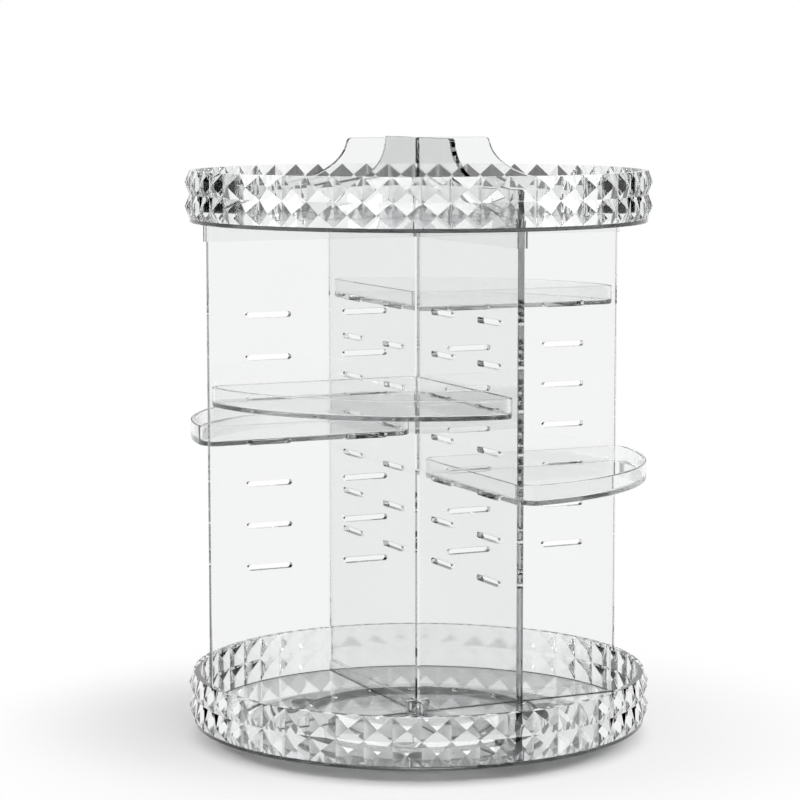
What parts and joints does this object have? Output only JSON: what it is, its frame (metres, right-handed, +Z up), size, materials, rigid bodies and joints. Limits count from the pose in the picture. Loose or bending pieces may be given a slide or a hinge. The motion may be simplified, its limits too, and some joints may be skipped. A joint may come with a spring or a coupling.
{
  "type": "rotating makeup organizer",
  "caption": "Clear round carousel with crossed slotted panels, lift-out quarter trays and faceted rims, turning on a ball-bearing foot.",
  "frame": {"origin": "on the turning axis, at the surface that the rubber pads stand on", "axes": "+Z up along the turning axis, X and Y along the two crossed panels, -Y towards the front right panel edge in the picture and -X towards the left one"},
  "size_m": [0.24, 0.24, 0.3107],
  "materials": {
    "clear_plastic": "clear moulded plastic, polished",
    "crystal_plastic": "clear moulded plastic with sharp polished facets",
    "panel_plastic": "clear sheet plastic, polished faces and edges",
    "pad_rubber": "soft matt rubber",
    "cage_plastic": "plain moulded plastic",
    "ball_steel": "polished bearing steel",
    "fastener_steel": "zinc-plated steel"
  },
  "bodies": {
    "foot": {"foot_disc": "clear_plastic", "foot_pad_1": "pad_rubber", "foot_pad_2": "pad_rubber", "foot_pad_3": "pad_rubber", "foot_pad_4": "pad_rubber", "foot_pad_5": "pad_rubber", "foot_pad_6": "pad_rubber"},
    "ball_ring": {"ball_cage": "cage_plastic", "bearing_balls": "ball_steel"},
    "turntable": {"pivot_screw": "fastener_steel", "pivot_washer": "fastener_steel", "base_plate": "clear_plastic", "base_rim": "crystal_plastic", "panel_left_right": "panel_plastic", "panel_front_back": "panel_plastic", "top_plate": "clear_plastic", "top_rim": "crystal_plastic", "divider_left_right": "panel_plastic", "divider_front_back": "panel_plastic"},
    "front_tray": {"front_tray": "clear_plastic"},
    "right_tray": {"right_tray": "clear_plastic"},
    "left_tray": {"left_tray": "clear_plastic"},
    "back_tray": {"back_tray": "clear_plastic"}
  },
  "joints": [
    {"name": "turntable_spin", "type": "hinge", "parent": "foot", "child": "turntable", "pos_m": [0, 0, 0.0055], "axis": [0, 0, 1], "continuous": true},
    {"name": "ball_ring_spin", "type": "hinge", "parent": "foot", "child": "ball_ring", "pos_m": [0, 0, 0.00625], "axis": [0, 0, 1], "continuous": true},
    {"name": "front_tray_slide", "type": "slide", "parent": "turntable", "child": "front_tray", "axis": [-0.7071, -0.7071, 0], "range_m": [0, 0.13]},
    {"name": "right_tray_slide", "type": "slide", "parent": "turntable", "child": "right_tray", "axis": [0.7071, -0.7071, 0], "range_m": [0, 0.13]},
    {"name": "left_tray_slide", "type": "slide", "parent": "turntable", "child": "left_tray", "axis": [-0.7071, 0.7071, 0], "range_m": [0, 0.13]},
    {"name": "back_tray_slide", "type": "slide", "parent": "turntable", "child": "back_tray", "axis": [0.7071, 0.7071, 0], "range_m": [0, 0.13]}
  ],
  "couplings": [
    {"joint": "ball_ring_spin", "follows": "turntable_spin", "ratio": 0.5}
  ]
}
